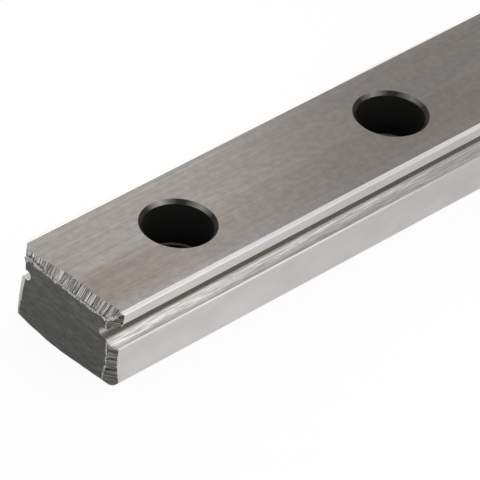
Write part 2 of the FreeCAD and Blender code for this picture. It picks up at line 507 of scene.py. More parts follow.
@dataclass(frozen=True)
class Steel:
    """One finish of the steel.

    Attributes:
        name: The material's name.
        tint: The plain colour.
        line_tint: The colour of the grinding lines.
        patch_tint: The colour of the first kind of patch.
        second_patch_tint: The colour of the second kind.
        line_share: How strongly the lines show.
        band_share: How strongly the broader bands show.
        patch_share: How strongly the patches show.
        grain: Grinding lines per metre along X, Y and Z.
        softness: How softly a grinding line fades into the next.
        patches: Patches per metre along X, Y and Z.
        patch_softness: How softly a patch fades.
        roughness: The least and the greatest roughness.
        metallic: How metallic it is.
        specular: How much of a non-metallic finish's own gloss shows.
        relief: The height of the grain, in metres.
        shades: The changes of its colour along the axes.
    """

    name: str
    tint: Colour
    line_tint: Colour
    patch_tint: Colour
    second_patch_tint: Colour
    line_share: float = 0.3
    band_share: float = 0.3
    patch_share: float = 0.5
    grain: Triple = (40.0, 6500.0, 6500.0)
    softness: float = 0.22
    patches: Triple = (260.0, 480.0, 480.0)
    patch_softness: float = 0.16
    roughness: tuple[float, float] = (0.34, 0.46)
    metallic: float = 1.0
    specular: float = 0.5
    relief: float = 2e-6
    shades: tuple[Shade, ...] = ()

    def weather(self, nodes: Nodes, colour: object) -> object:
        """Changes the colour by the place on the rail.

        Args:
            nodes: The writer of the material's tree.
            colour: The colour before that.

        Returns:
            The changed colour.
        """
        for shade in self.shades:
            colour = shade.apply(nodes, colour)
        return colour

    def build(self) -> None:
        """Builds the material."""
        material = bpy.data.materials.new(self.name)
        material.use_nodes = True
        material.diffuse_color = (*self.tint, 1.0)
        nodes = Nodes(material.node_tree)
        lines = nodes.group("grinding_grain", {"Per Metre": self.grain, "Softness": self.softness})
        patches = nodes.group("steel_mottle", {"Per Metre": self.patches, "Softness": self.patch_softness})
        colour: object = (*self.tint, 1.0)
        for mask, share, tint in (
            (patches["First"], self.patch_share, self.patch_tint),
            (patches["Second"], self.patch_share, self.second_patch_tint),
            (lines["Bands"], self.band_share, self.line_tint),
            (lines["Lines"], self.line_share, self.line_tint),
        ):
            colour = nodes.blend(nodes.math("MULTIPLY", mask, share), colour, (*tint, 1.0))
        bump = nodes.add("ShaderNodeBump", {"Height": lines["Lines"], "Distance": self.relief})
        shader = nodes.add(
            "ShaderNodeBsdfPrincipled",
            {
                "Base Color": self.weather(nodes, colour),
                "Roughness": nodes.spread(lines["Lines"], 0.0, 1.0, *self.roughness),
                "Metallic": self.metallic,
                "Specular IOR Level": self.specular,
                "Normal": bump.outputs["Normal"],
            },
        )
        nodes.add("ShaderNodeOutputMaterial", {"Surface": shader.outputs[0]})


@dataclass(frozen=True)
class StainedTop(Steel):
    """The ground top, with a long brownish stain on one half of it.

    Attributes:
        stain: What the stain multiplies the colour by.
        stain_middle: Where the stain's middle is across the rail.
        stain_border: Where its soft border begins and ends, to either side of its middle.
        wander: How far its borders wander to either side.
        warmth: What the warmer clouds multiply the colour by.
        clouds: Clouds per metre along X, Y and Z.
        wander_range: The cloud values at which the borders are farthest out and farthest in.
        warm_range: The cloud values at which the warmth begins and is full.
        fresh_share: How much of the stain is left along the rail's middle stretch.
        fresh_to: How far from the rail's middle that stretch reaches.
        stained_from: From how far on the stain has its full strength.
    """

    stain: Colour = (0.865, 0.80, 0.75)
    stain_middle: float = -2.35 * MM
    stain_border: tuple[float, float] = (1.65 * MM, 2.45 * MM)
    wander: float = 0.35 * MM
    warmth: Colour = (1.025, 0.995, 0.965)
    clouds: Triple = (150.0, 420.0, 150.0)
    wander_range: tuple[float, float] = (0.25, 0.75)
    warm_range: tuple[float, float] = (0.38, 0.62)
    fresh_share: float = 0.25
    fresh_to: float = 33.0 * MM
    stained_from: float = 47.0 * MM

    def weather(self, nodes: Nodes, colour: object) -> object:
        """Stains the colour by the place across the rail.

        Args:
            nodes: The writer of the material's tree.
            colour: The colour without the stain.

        Returns:
            The stained colour.
        """
        cloud = nodes.noise(nodes.count(self.clouds), 4.0)
        shift = nodes.spread(cloud, *self.wander_range, -self.wander, self.wander)
        away = nodes.math("ADD", nodes.distance(nodes.axis("Y"), self.stain_middle), shift)
        along = nodes.distance(nodes.axis("X"), 0.0)
        strength = nodes.spread(along, self.fresh_to, self.stained_from, self.fresh_share, 1.0)
        stained = nodes.math("MULTIPLY", nodes.spread(away, *self.stain_border, 1.0, 0.0), strength)
        colour = nodes.tint(stained, colour, self.stain)
        colour = nodes.tint(nodes.spread(cloud, *self.warm_range, 0.0, 1.0), colour, self.warmth)
        return super().weather(nodes, colour)


@dataclass(frozen=True)
class BeltGround(Steel):
    """A bevel ground on an abrasive belt, ridge by ridge.

    Attributes:
        ridges: Ridges per metre along X, Y and Z.
        ridge_shade: What the darkest ridge multiplies the colour by.
        groove_shade: What a groove multiplies it by.
        corner_glint: What the painted highlight at the left of an end multiplies it by.
        corner_glint_from: Where that highlight begins, to the left of the middle.
        corner_glint_to: Where it has its full strength.
        end_x: How far the ends are from the rail's middle.
    """

    ridges: Triple = (250.0, 10500.0, 250.0)
    ridge_shade: float = 0.12
    groove_shade: float = 0.36
    corner_glint: float = 1.6
    corner_glint_from: float = 3.0 * MM
    corner_glint_to: float = 4.8 * MM
    end_x: float = 50.0 * MM

    def weather(self, nodes: Nodes, colour: object) -> object:
        """Shades the colour ridge by ridge, and lightens the left part of an end's bevels with a painted
        highlight.

        Args:
            nodes: The writer of the material's tree.
            colour: The bevel's colour.

        Returns:
            The shaded colour.
        """
        marks = nodes.group("belt_ridges", {"Per Metre": self.ridges})
        # the left part of each end's bevels is lightened: a painted highlight
        product = nodes.math("MULTIPLY", nodes.axis("X"), nodes.axis("Y"))
        left = nodes.math("MULTIPLY", product, -1 / self.end_x)
        for mask, shade in (
            (marks["Ridges"], self.ridge_shade),
            (marks["Grooves"], self.groove_shade),
            (nodes.spread(left, self.corner_glint_from, self.corner_glint_to, 0.0, 1.0), self.corner_glint),
        ):
            colour = nodes.tint(mask, colour, (shade, shade, shade))
        return super().weather(nodes, colour)


@dataclass(frozen=True)
class PaintedGlintMouth(Steel):
    """Dark steel round the holes' mouths, with painted highlights at the same places of each.

    Attributes:
        glint_tint: The colour of the painted highlights.
        glint_at: Where they are round a hole, in degrees from +X towards +Y.
        glint_width: How far each fades out to either side, in degrees.
        pitch: From one hole to the next.
        inner_share: How much of the painted highlights the two inner holes have.
    """

    glint_tint: Colour = (0.235, 0.224, 0.217)
    glint_at: tuple[float, ...] = (10.0, 75.0)
    glint_width: float = 27.0
    pitch: float = 25.0 * MM
    inner_share: float = 0.66

    def weather(self, nodes: Nodes, colour: object) -> object:
        """Mixes in the painted highlights, by the angle round the nearest hole.

        Args:
            nodes: The writer of the material's tree.
            colour: The mouth's dark colour, which is painted shade.

        Returns:
            The mixed colour.
        """
        x, half_pitch = nodes.axis("X"), self.pitch / 2
        along = nodes.add("ShaderNodeMath", {0: x, 1: self.pitch, 2: 0.0}, operation="WRAP").outputs[0]
        angle = nodes.math("ARCTAN2", nodes.axis("Y"), nodes.math("SUBTRACT", along, half_pitch))
        away = nodes.distance(x, 0.0)
        strength = nodes.spread(away, half_pitch, 3 * half_pitch, self.inner_share, 1.0)
        # painted highlights at fixed angles round each hole, where the lamps would be reflected
        for degrees in self.glint_at:
            turned = nodes.distance(angle, math.radians(degrees))
            glint_mask = nodes.spread(turned, 0.0, math.radians(self.glint_width), 1.0, 0.0)
            colour = nodes.blend(nodes.math("MULTIPLY", glint_mask, strength), colour, (*self.glint_tint, 1.0))
        return super().weather(nodes, colour)


STEELS: dict[Finish, Steel] = {
    # the top's dark tint, beside the far lighter sides of the same ground steel, is partly its duller finish
    # and partly painted shade
    Finish.TOP: StainedTop(
        "fine_ground_top", tint=(0.212, 0.199, 0.190), line_tint=(0.160, 0.150, 0.143),
        patch_tint=(0.232, 0.210, 0.194), second_patch_tint=(0.150, 0.147, 0.141), line_share=0.30,
        band_share=0.35, patch_share=0.6, patches=(1300.0, 1800.0, 1800.0), patch_softness=0.12,
        roughness=(0.40, 0.52),
        shades=(
            Shade("Y", (1.06, 1.07, 1.08), none_at=0.35 * MM, full_at=0.0, middle=0.12 * MM),
            Shade("Y", (1.05, 1.065, 1.085), none_at=4.6 * MM, full_at=5.0 * MM),
        ),
    ),
    Finish.SIDE: Steel(
        "ground_side", tint=(0.59, 0.560, 0.555), line_tint=(0.545, 0.52, 0.515),
        patch_tint=(0.51, 0.481, 0.477), second_patch_tint=(0.66, 0.640, 0.635), patch_softness=0.12,
        roughness=(0.34, 0.42),
        # darker along the rail's middle stretch, away from the ends: painted shade
        shades=(Shade("X", (0.92, 0.92, 0.92), none_at=36.0 * MM, full_at=26.0 * MM),),
    ),
    # the top edge strips' very light tint is partly painted highlight, for the light that these narrow
    # strips catch
    Finish.TOP_EDGE: Steel(
        "ground_top_edge", tint=(0.78, 0.758, 0.747), line_tint=(0.57, 0.553, 0.543),
        patch_tint=(0.68, 0.66, 0.65), second_patch_tint=(0.65, 0.64, 0.63), line_share=0.75,
        grain=(110.0, 6000.0, 6000.0), softness=0.12, roughness=(0.26, 0.34),
    ),
    Finish.FLANK: Steel(
        "lapped_raceway", tint=(0.515, 0.50, 0.485), line_tint=(0.285, 0.276, 0.264),
        patch_tint=(0.37, 0.357, 0.346), second_patch_tint=(0.54, 0.525, 0.51), line_share=0.8,
        band_share=0.2, patch_share=0.45, grain=(440.0, 9000.0, 9000.0), softness=0.09,
        patches=(520.0, 3600.0, 3600.0), patch_softness=0.1, roughness=(0.24, 0.36),
        # lighter next to the side and darker along the rail's middle stretch: painted light and painted
        # shade
        shades=(
            Shade("Y", (1.3, 1.3, 1.3), none_at=5.5 * MM, full_at=5.8 * MM),
            Shade("X", (0.84, 0.84, 0.84), none_at=43.0 * MM, full_at=34.0 * MM),
        ),
    ),
    # the upper flank's very light tint is partly painted light, brightening what the lower flank reflects of
    # it
    Finish.UPPER_FLANK: Steel(
        "bright_upper_flank", tint=(0.86, 0.845, 0.83), line_tint=(0.70, 0.685, 0.67),
        patch_tint=(0.82, 0.80, 0.785), second_patch_tint=(0.80, 0.79, 0.78),
        grain=(30.0, 9000.0, 9000.0), roughness=(0.22, 0.32),
    ),
    Finish.LIP: Steel(
        "broken_raceway_edge", tint=(0.50, 0.485, 0.478), line_tint=(0.40, 0.387, 0.378),
        patch_tint=(0.46, 0.446, 0.438), second_patch_tint=(0.45, 0.445, 0.44),
        roughness=(0.26, 0.34),
    ),
    Finish.SLOT: Steel(
        "relief_slot_steel", tint=(0.48, 0.462, 0.440), line_tint=(0.34, 0.328, 0.305),
        patch_tint=(0.39, 0.38, 0.33), second_patch_tint=(0.46, 0.43, 0.41), roughness=(0.4, 0.55),
    ),
    # dark mouths with lighter places: painted shade, with painted reflections of the lamps
    Finish.HOLE_MOUTH: PaintedGlintMouth(
        "mouth_painted_glints", tint=(0.026, 0.024, 0.0215), line_tint=(0.02, 0.0185, 0.017),
        patch_tint=(0.04, 0.036, 0.033), second_patch_tint=(0.022, 0.02, 0.018), line_share=0.15,
        band_share=0.15, patch_share=0.3, patches=(900.0, 900.0, 900.0),
        grain=(3000.0, 3000.0, 12000.0), roughness=(0.34, 0.46),
    ),
    Finish.RECESS: Steel(
        "scaled_recess", tint=(0.012, 0.011, 0.010), line_tint=(0.009, 0.009, 0.008),
        patch_tint=(0.014, 0.012, 0.011), second_patch_tint=(0.010, 0.010, 0.010),
        grain=(3000.0, 3000.0, 9000.0), roughness=(0.5, 0.65), metallic=0.0, specular=0.2,
    ),
    Finish.RECESS_FLOOR: Steel(
        "turned_recess_floor", tint=(0.06, 0.056, 0.052), line_tint=(0.04, 0.037, 0.035),
        patch_tint=(0.05, 0.046, 0.043), second_patch_tint=(0.044, 0.042, 0.04),
        grain=(3000.0, 3000.0, 9000.0), roughness=(0.35, 0.5),
    ),
    # the end face's dark tint is partly its rough cut steel and partly painted shade
    Finish.END_FACE: Steel(
        "cut_end", tint=(0.150, 0.145, 0.138), line_tint=(0.070, 0.068, 0.064),
        patch_tint=(0.078, 0.072, 0.069), second_patch_tint=(0.104, 0.110, 0.104), line_share=0.65,
        grain=(3500.0, 1400.0, 7000.0), patches=(900.0, 480.0, 2100.0), patch_softness=0.1,
        patch_share=0.85, roughness=(0.5, 0.66),
        # lighter towards the top: painted light
        shades=(Shade("Z", (1.16, 1.16, 1.17), none_at=1.5 * MM, full_at=6.2 * MM),),
    ),
    # the top bevel's very light tint, beside the darker side and base bevels ground the same way, is partly
    # painted light and shade by which way each faces
    Finish.TOP_BEVEL: BeltGround(
        "belt_ground_top_bevel", tint=(0.91, 0.882, 0.855), line_tint=(0.17, 0.165, 0.16),
        patch_tint=(0.80, 0.777, 0.754), second_patch_tint=(0.95, 0.926, 0.905), line_share=0.55,
        band_share=0.1, grain=(300.0, 11000.0, 300.0), softness=0.07, roughness=(0.3, 0.5),
        relief=1.5e-5,
    ),
    Finish.SIDE_BEVEL: BeltGround(
        "belt_ground_side_bevel", ridges=(250.0, 250.0, 10500.0), ridge_shade=0.3, groove_shade=0.4,
        tint=(0.34, 0.329, 0.318), line_tint=(0.065, 0.063, 0.06), patch_tint=(0.24, 0.232, 0.224),
        second_patch_tint=(0.41, 0.398, 0.384), line_share=0.6, band_share=0.1, patch_share=0.4,
        grain=(300.0, 300.0, 11500.0), softness=0.08, roughness=(0.3, 0.5), relief=1.5e-5,
    ),
    Finish.NARROW_BEVEL: Steel(
        "polished_narrow_bevel", tint=(0.50, 0.488, 0.48), line_tint=(0.26, 0.252, 0.245),
        patch_tint=(0.41, 0.40, 0.39), second_patch_tint=(0.45, 0.45, 0.44),
        grain=(260.0, 260.0, 6000.0), roughness=(0.3, 0.44),
        shades=(Shade("Z", (0.42, 0.42, 0.42), none_at=3.2 * MM, full_at=0.9 * MM),),
    ),
    # darker than the other bevels: partly painted shade
    Finish.BASE_BEVEL: Steel(
        "rubbed_base_bevel", tint=(0.19, 0.184, 0.178), line_tint=(0.12, 0.116, 0.11),
        patch_tint=(0.12, 0.115, 0.11), second_patch_tint=(0.22, 0.215, 0.205),
        grain=(260.0, 3000.0, 260.0), roughness=(0.36, 0.5),
    ),
    Finish.BURR: Steel(
        "bright_burr", tint=(0.58, 0.57, 0.56), line_tint=(0.20, 0.195, 0.19),
        patch_tint=(0.24, 0.233, 0.226), second_patch_tint=(0.55, 0.55, 0.535), line_share=0.55,
        grain=(5000.0, 5000.0, 5000.0), softness=0.08, patches=(2600.0, 2600.0, 2600.0),
        patch_share=0.9, patch_softness=0.1, roughness=(0.24, 0.38),
    ),
    Finish.BASE: Steel(
        "ground_base", tint=(0.45, 0.43, 0.425), line_tint=(0.38, 0.365, 0.36),
        patch_tint=(0.41, 0.385, 0.37), second_patch_tint=(0.42, 0.415, 0.405),
    ),
}


@dataclass
class Bar:
    """The plain bar, with its four long edges ground back.

    Attributes:
        length: Along the rail.
        width: Across it.
        height: From the base to the top.
        top_edge_width: How far the top edge strip reaches in over the top.
        top_edge_drop: How far it reaches down the side.
        top_edge_rounding: The rounding of the strip's own two edges.
        base_edge_bevel: The bevel of the edges under the base.
    """

    length: float
    width: float
    height: float
    top_edge_width: float = 0.345 * MM
    top_edge_drop: float = 0.145 * MM
    top_edge_rounding: float = 0.028 * MM
    base_edge_bevel: float = 0.3 * MM

    def build(self) -> Piece:
        """Models the bar and gives each face its finish.

        Returns:
            The bar, its base on the floor.
        """
        half = self.width / 2
        bar = add_box("ground_rail", (-self.length / 2, -half, 0.0), (self.length / 2, half, self.height))
        set_finish(bar, Finish.SIDE)
        strip_level = self.height - self.top_edge_drop
        for way in (-1, 1):
            looks = (0.0, way * self.top_edge_drop, self.top_edge_width)
            self.slice_edge(bar, (0.0, way * half, strip_level), looks)
            self.slice_edge(bar, (0.0, way * half, self.base_edge_bevel), (0.0, way, -1.0))
        set_finish(bar, Finish.TOP_EDGE, lambda face: 1 - LEVEL < face.normal.z < LEVEL)
        set_finish(bar, Finish.TOP, lambda face: face.normal.z > LEVEL)
        set_finish(bar, Finish.BASE, lambda face: face.normal.z < -LEVEL)
        points = bar.data.vertices
        lowest = strip_level - self.top_edge_drop / 2

        def borders_strip(edge: bpy.types.MeshEdge) -> bool:
            """Whether an edge runs along the rail beside one of the top edge strips."""
            first, second = (points[index].co for index in edge.vertices)
            return abs(first.x - second.x) > half and min(first.z, second.z) > lowest

        select_edges(bar, borders_strip)
        with editing(bar, "EDGE"):
            bpy.ops.mesh.bevel(offset=self.top_edge_rounding, segments=2, material=int(Finish.TOP_EDGE))
        return bar

    def slice_edge(self, bar: Piece, point: Triple, outward: Triple) -> None:
        """Takes off one long edge.

        Args:
            bar: The bar.
            point: A point of the new face.
            outward: The way that the new face looks.
        """
        plane = {"plane_co": point, "plane_no": Vector(outward).normalized(), "threshold": SAME_PLACE}
        with editing(bar, everything=True):
            bpy.ops.mesh.bisect(**plane, use_fill=True, clear_outer=True)


@dataclass
class Raceway:
    """A ball raceway: a pointed arch of two flanks, with a rounded relief slot behind it.

    Attributes:
        side: How far the rail's side is from its middle.
        height: The rail's height.
        length: How long the cut is.
        drop: From the top down to the raceway's middle.
        opening: The height of its mouth.
        flank_radius: The radius of both flanks.
        centre_outside: How far outside the side the flanks' centres are.
        arch_offset: How far each centre is beyond the raceway's middle.
        edge_break: How far the broken edges reach in.
        slot_width: The height of the relief slot.
        slot_depth: How deep it goes in from the side.
        slot_lip: The rounding between flank and slot.
        overrun: How far the cut goes on past the side.
        steps: How many short faces stand for a flank, for the lip and for half of the slot's round.
    """

    side: float
    height: float
    length: float
    drop: float = 2.33 * MM
    opening: float = 2.58 * MM
    flank_radius: float = 1.24 * MM
    centre_outside: float = 0.18 * MM
    arch_offset: float = 0.04 * MM
    edge_break: float = 0.10 * MM
    slot_width: float = 0.93 * MM
    slot_depth: float = 1.85 * MM
    slot_lip: float = 0.27 * MM
    overrun: float = 1.0 * MM
    steps: Sequence[int] = (32, 6, 16)

    @property
    def middle(self) -> float:
        """How high the raceway's middle is."""
        return self.height - self.drop

    @property
    def flank_end(self) -> float:
        """How far from the rail's middle the flanks meet the slot."""
        reach = self.slot_width / 2 + self.arch_offset
        return self.side + self.centre_outside - math.sqrt(self.flank_radius**2 - reach**2)

    def half_outline(self) -> list[tuple[float, float]]:
        """The upper half of the section, from outside the rail in to the slot's floor.

        Returns:
            The corners, as the distance from the rail's middle and the height above the raceway's.
        """
        half_slot, radius = self.slot_width / 2, self.flank_radius
        centre = self.side + self.centre_outside
        flank_steps, lip_steps, round_steps = self.steps
        first = math.asin((self.centre_outside + self.edge_break) / radius)
        last = math.acos((half_slot + self.arch_offset) / radius) - self.slot_lip / radius
        flank = [
            (centre - radius * math.sin(angle), radius * math.cos(angle) - self.arch_offset)
            for angle in (first + (last - first) * step / flank_steps for step in range(flank_steps + 1))
        ]
        corner = Vector((self.flank_end, half_slot))
        before, after = Vector(flank[-1]), Vector((self.flank_end - self.slot_lip, half_slot))
        lip = [
            tuple(before.lerp(corner, share).lerp(corner.lerp(after, share), share))
            for share in (step / lip_steps for step in range(1, lip_steps + 1))
        ]
        round_middle = self.side - self.slot_depth + half_slot
        floor = [
            (round_middle - half_slot * math.sin(angle), half_slot * math.cos(angle))
            for angle in (math.pi / 2 * step / round_steps for step in range(round_steps + 1))
        ]
        mouth = self.opening / 2
        return [(self.side + self.overrun, mouth), (self.side, mouth), *flank, *lip, *floor]

    def cut(self, bar: Piece, way: int) -> None:
        """Cuts the raceway and its slot into one side of the bar.

        Args:
            bar: The bar.
            way: 1 for the +Y side and -1 for the -Y side.
        """
        upper = self.half_outline()
        flank_top = upper[2][1]
        lower = [(y, -z) for y, z in reversed(upper[:-1])]
        corners = [(-self.length / 2, way * y, self.middle + z) for y, z in upper + lower]
        tool = fill_and_extrude(draw_outline("raceway_tool", corners), (self.length, 0.0, 0.0))
        set_finish(tool, Finish.FLANK)
        set_finish(tool, Finish.UPPER_FLANK, lambda face: face.center.z > self.middle)
        set_finish(tool, Finish.SLOT, lambda face: abs(face.center.y) < self.flank_end)
        set_finish(tool, Finish.LIP, lambda face: abs(face.center.z - self.middle) > flank_top)
        cut_with(bar, tool)


@dataclass
class ScrewHole:
    """A counterbored screw hole, turned about its axis.

    Attributes:
        height: The rail's height.
        hole: The screw hole's radius.
        recess: The head recess's radius.
        recess_depth: How deep the recess is.
        mouth: The bevel at the recess's mouth.
        under: The bevel at the hole's lower end.
        fillet: The small bevels at the recess's floor.
        overrun: How far the cut goes on past the rail.
        steps: How many flat sides stand for the round.
    """

    height: float
    hole: float = 1.75 * MM
    recess: float = 3.0 * MM
    recess_depth: float = 4.5 * MM
    mouth: float = 0.32 * MM
    under: float = 0.2 * MM
    fillet: float = 0.12 * MM
    overrun: float = 1.0 * MM
    steps: int = 128

    @property
    def floor(self) -> float:
        """How high the recess's floor is."""
        return self.height - self.recess_depth

    def outline(self) -> list[tuple[float, float]]:
        """The half section of what is cut away, as radius and height.

        Returns:
            The corners, from the axis below the rail to the axis above it.
        """
        over, fillet = self.overrun, self.fillet
        return [
            (0.0, -over),
            (self.hole + self.under + over, -over),
            (self.hole, self.under),
            (self.hole, self.floor - fillet),
            (self.hole + fillet, self.floor),
            (self.recess - fillet, self.floor),
            (self.recess, self.floor + fillet),
            (self.recess, self.height - self.mouth),
            (self.recess + self.mouth + over, self.height + over),
            (0.0, self.height + over),
        ]

    def build_tool(self) -> Piece:
        """Turns the outline into the tool that cuts the hole.

        Returns:
            The tool, about the Z axis.
        """
        tool = draw_outline("screw_hole_tool", [(radius, 0.0, z) for radius, z in self.outline()])
        with editing(tool, "VERT", everything=True):
            bpy.ops.mesh.spin(steps=self.steps, angle=2 * math.pi, center=(0, 0, 0), axis=(0, 0, 1))
        turn_outwards(tool)
        set_finish(tool, Finish.RECESS)
        set_finish(tool, Finish.HOLE_MOUTH, lambda face: face.center.z > self.height - self.mouth)
        set_finish(tool, Finish.RECESS_FLOOR, lambda face: abs(face.center.z - self.floor) < self.fillet)
        return tool

    def cut(self, bar: Piece, places: Sequence[float]) -> None:
        """Cuts the row of holes.

        Args:
            bar: The bar.
            places: Where the holes are along the rail.
        """
        tool = self.build_tool()
        for x in places:
            twin = copy_of(tool, "screw_hole_copy")
            twin.location = (x, 0.0, 0.0)
            fix_place(twin)
            cut_with(bar, twin)
        bpy.data.objects.remove(tool, do_unlink=True)


class Edge(Enum):
    """The edge of the end face that a facet is ground along, with the way it looks in Y and Z."""

    TOP = (0, 1)
    BASE = (0, -1)
    RIGHT = (-1, 0)
    LEFT = (1, 0)


@dataclass(frozen=True)
class EndFace:
    """Where the photographed end face is.

    Attributes:
        x: Where it is along the rail, at the rail's middle.
        lean: How much it turns, in metres of X for each metre of Y.
        height: The rail's height.
        side: Half the rail's width.
    """

    x: float
    lean: float
    height: float
    side: float


@dataclass
class GroundFacet:
    """One bevel of an end, ground by hand on a belt, with its ridges.

    Attributes:
        edge: Which edge of the end face it takes off.
        finish: Its finish.
        stations: Millimetres at each station: the place along the edge, the border on the
            end face and how far the bevel reaches along the rail.
        columns: How finely the surface is divided along the edge.
        rows: How finely it is divided down its slope.
        overreach: How far it is drawn out past both borders, as a share of its slope.
        smoothing: How many times the bends at the stations are smoothed.
        ridge_height: The height of the ridges.
        ridge_width: The gauge of the ridges' noise across them.
        ridge_stretch: How many times as long it is along them.
        wave_height: The height of the slower waves.
        wave_width: The gauge of their noise.
        backing: How far the tool's back is behind it, along the rail and away from the middle.
    """

    edge: Edge
    finish: Finish
    stations: Sequence[Triple]
    columns: int = 560
    rows: int = 12
    overreach: float = 0.45
    smoothing: int = 16
    ridge_height: float = 0.23 * MM
    ridge_width: float = 0.38 * MM
    ridge_stretch: float = 14.0
    wave_height: float = 0.10 * MM
    wave_width: float = 4.0 * MM
    backing: tuple[float, float] = (1.5 * MM, 1.2 * MM)

    def corners(self, station: Triple, end: EndFace) -> list[Vector]:
        """The two ends of the slope at a station, both drawn out beyond the bar.

        Args:
            station: The station's three numbers.
            end: The end face.

        Returns:
            The outer point and the inner one.
        """
        place, border, along = (value * MM for value in station)
        way, up = self.edge.value
        if up:
            x = end.x + end.lean * place
            ends = [Vector((x, place, border)), Vector((x + along, place, end.height if up > 0 else 0.0))]
        else:
            x = end.x + end.lean * way * border
            ends = [Vector((x, way * border, place)), Vector((x + along, way * end.side, place))]
        reach = (ends[1] - ends[0]) * self.overreach
        return [ends[0] - reach, ends[1] + reach]

    def build_tool(self, end: EndFace) -> Piece:
        """Models the block whose inner face is the ridged bevel.

        Args:
            end: The end face.

        Returns:
            The closed block.
        """
        bpy.ops.mesh.primitive_grid_add(x_subdivisions=self.columns, y_subdivisions=self.rows, size=1.0)
        tool = bpy.context.object
        tool.scale = (len(self.stations) - 1, 1.0, 1.0)
        fix_place(tool)
        tool.name = f"{self.edge.name.lower()}_bevel_tool"
        self.shape_with_lattice(tool, end)
        way, up = self.edge.value
        wide = self.ridge_width
        long = self.ridge_stretch * wide
        widths = (long, wide, long) if up else (long, long, wide)
        self.roughen(tool, "belt_ridges", widths, self.ridge_height, layers=2)
        self.roughen(tool, "hand_waves", (self.wave_width,) * 3, self.wave_height, layers=1)
        back, out = self.backing
        extrude_all(tool, (-back, way * out, up * out))
        set_finish(tool, self.finish)
        return tool

    def shape_with_lattice(self, tool: Piece, end: EndFace) -> None:
        """Bends the flat grid to the stations.

        Args:
            tool: The grid, a metre wide, with a metre from station to station.
            end: The end face.
        """
        cage_data = bpy.data.lattices.new("bevel_cage")
        cage_data.points_u, cage_data.points_v, cage_data.points_w = len(self.stations), 2, 1
        for axis in "uvw":
            setattr(cage_data, f"interpolation_type_{axis}", "KEY_LINEAR")
        for number, station in enumerate(self.stations):
            for row, point in enumerate(self.corners(station, end)):
                cage_data.points[number + row * len(self.stations)].co_deform = point
        with helper("bevel_cage", cage_data) as cage:
            tool.modifiers.new("cage", "LATTICE").object = cage
            apply_modifiers(tool)
        with editing(tool, "VERT", everything=True):
            bpy.ops.mesh.vertices_smooth(factor=0.5, repeat=self.smoothing)

    def roughen(self, tool: Piece, name: str, widths: Triple, height: float, layers: int) -> None:
        """Raises and lowers the surface by a stretched noise.

        Args:
            tool: The surface.
            name: The texture's name.
            widths: The noise's gauge along each axis.
            height: The whole range of the relief.
            layers: How many finer layers the noise has.
        """
        texture = bpy.data.textures.new(name, "CLOUDS")
        texture.noise_scale = CLOUD_SCALE
        texture.noise_depth = layers
        modifier = tool.modifiers.new(name, "DISPLACE")
        modifier.texture = texture
        modifier.texture_coords = "OBJECT"
        modifier.strength = height
        with helper("noise_gauge", None) as gauge:
            gauge.scale = widths
            bpy.context.view_layer.update()
            modifier.texture_coords_object = gauge
            apply_modifiers(tool)
        bpy.data.textures.remove(texture)


@dataclass
class FiledCorner:
    """The edge below the left raceway, filed off near the end.

    Attributes:
        mouth: How high the filed face meets the side, at the end.
        reach: How far in from the side it goes.
        slope: How much it rises for each metre inwards.
        length: How far it goes along the rail.
        rise: How much it rises over that length.
        overrun: How far the tool goes on past the end and the side.
        thickness: How far its back is from the filed face, in Y and in Z.
    """

    mouth: float = 3.65 * MM
    reach: float = 0.8 * MM
    slope: float = 0.993
    length: float = 1.4 * MM
    rise: float = 0.33 * MM
    overrun: float = 0.4 * MM
    thickness: float = 0.28 * MM

    def build_tool(self, end: EndFace) -> Piece:
        """Models the block whose lower face is the filed one.

        Args:
            end: The end face.

        Returns:
            The closed block.
        """
        start, out, last, inner = -self.overrun, self.overrun, self.length, -self.reach
        corners = []
        for along, across in ((start, out), (last, out), (last, inner), (start, inner)):
            level = self.mouth + self.rise * along / self.length - self.slope * across
            corners.append((end.x + along, end.side + across, level))
        outline = draw_outline("filed_corner_tool", corners)
        tool = fill_and_extrude(outline, (0.0, self.thickness, self.thickness))
        set_finish(tool, Finish.NARROW_BEVEL)
        return tool


FACETS = (
    GroundFacet(Edge.TOP, Finish.TOP_BEVEL, (
        (6.9, 6.95, 0.05), (5.6, 6.95, 0.05), (4.3, 6.86, 0.12), (3.1, 6.75, 0.31), (1.9, 6.67, 0.50),
        (0.7, 6.71, 0.73), (-0.5, 6.69, 0.72), (-1.7, 6.65, 0.75), (-2.9, 6.62, 0.68),
        (-4.1, 6.62, 0.73), (-5.3, 6.57, 0.87), (-6.6, 6.57, 0.87),
    )),
    GroundFacet(Edge.RIGHT, Finish.SIDE_BEVEL, (
        (-0.9, 4.90, 0.92), (0.3, 4.95, 0.86), (1.2, 5.03, 0.70), (2.1, 5.22, 0.55), (3.0, 5.28, 0.54),
        (3.9, 5.18, 0.53), (4.8, 5.05, 0.56), (5.7, 4.95, 0.66), (6.6, 4.92, 0.86), (7.5, 4.86, 0.82),
        (8.6, 4.86, 0.80),
    ), columns=300),
    GroundFacet(Edge.LEFT, Finish.NARROW_BEVEL, (
        (-0.9, 5.20, 0.60), (0.3, 5.20, 0.60), (1.2, 5.18, 0.63), (2.1, 5.10, 0.68), (3.0, 5.00, 0.75),
        (3.9, 4.85, 0.86), (4.8, 4.78, 1.00), (5.7, 4.80, 1.12), (6.6, 4.88, 1.16), (7.5, 4.92, 1.15),
        (8.6, 4.92, 1.15),
    ), columns=200, ridge_height=0.05 * MM, wave_height=0.06 * MM),
    GroundFacet(Edge.BASE, Finish.BASE_BEVEL, (
        (6.9, 1.10, 0.70), (5.6, 0.88, 0.60), (4.3, 0.62, 0.40), (3.1, 0.42, 0.30), (1.9, 0.24, 0.22),
        (0.7, 0.19, 0.20), (-0.5, 0.21, 0.20), (-1.7, 0.30, 0.25), (-2.9, 0.40, 0.30),
        (-4.1, 0.44, 0.35), (-5.3, 0.55, 0.42), (-6.6, 0.75, 0.60),
    ), columns=200, ridge_height=0.04 * MM, wave_height=0.06 * MM),
)


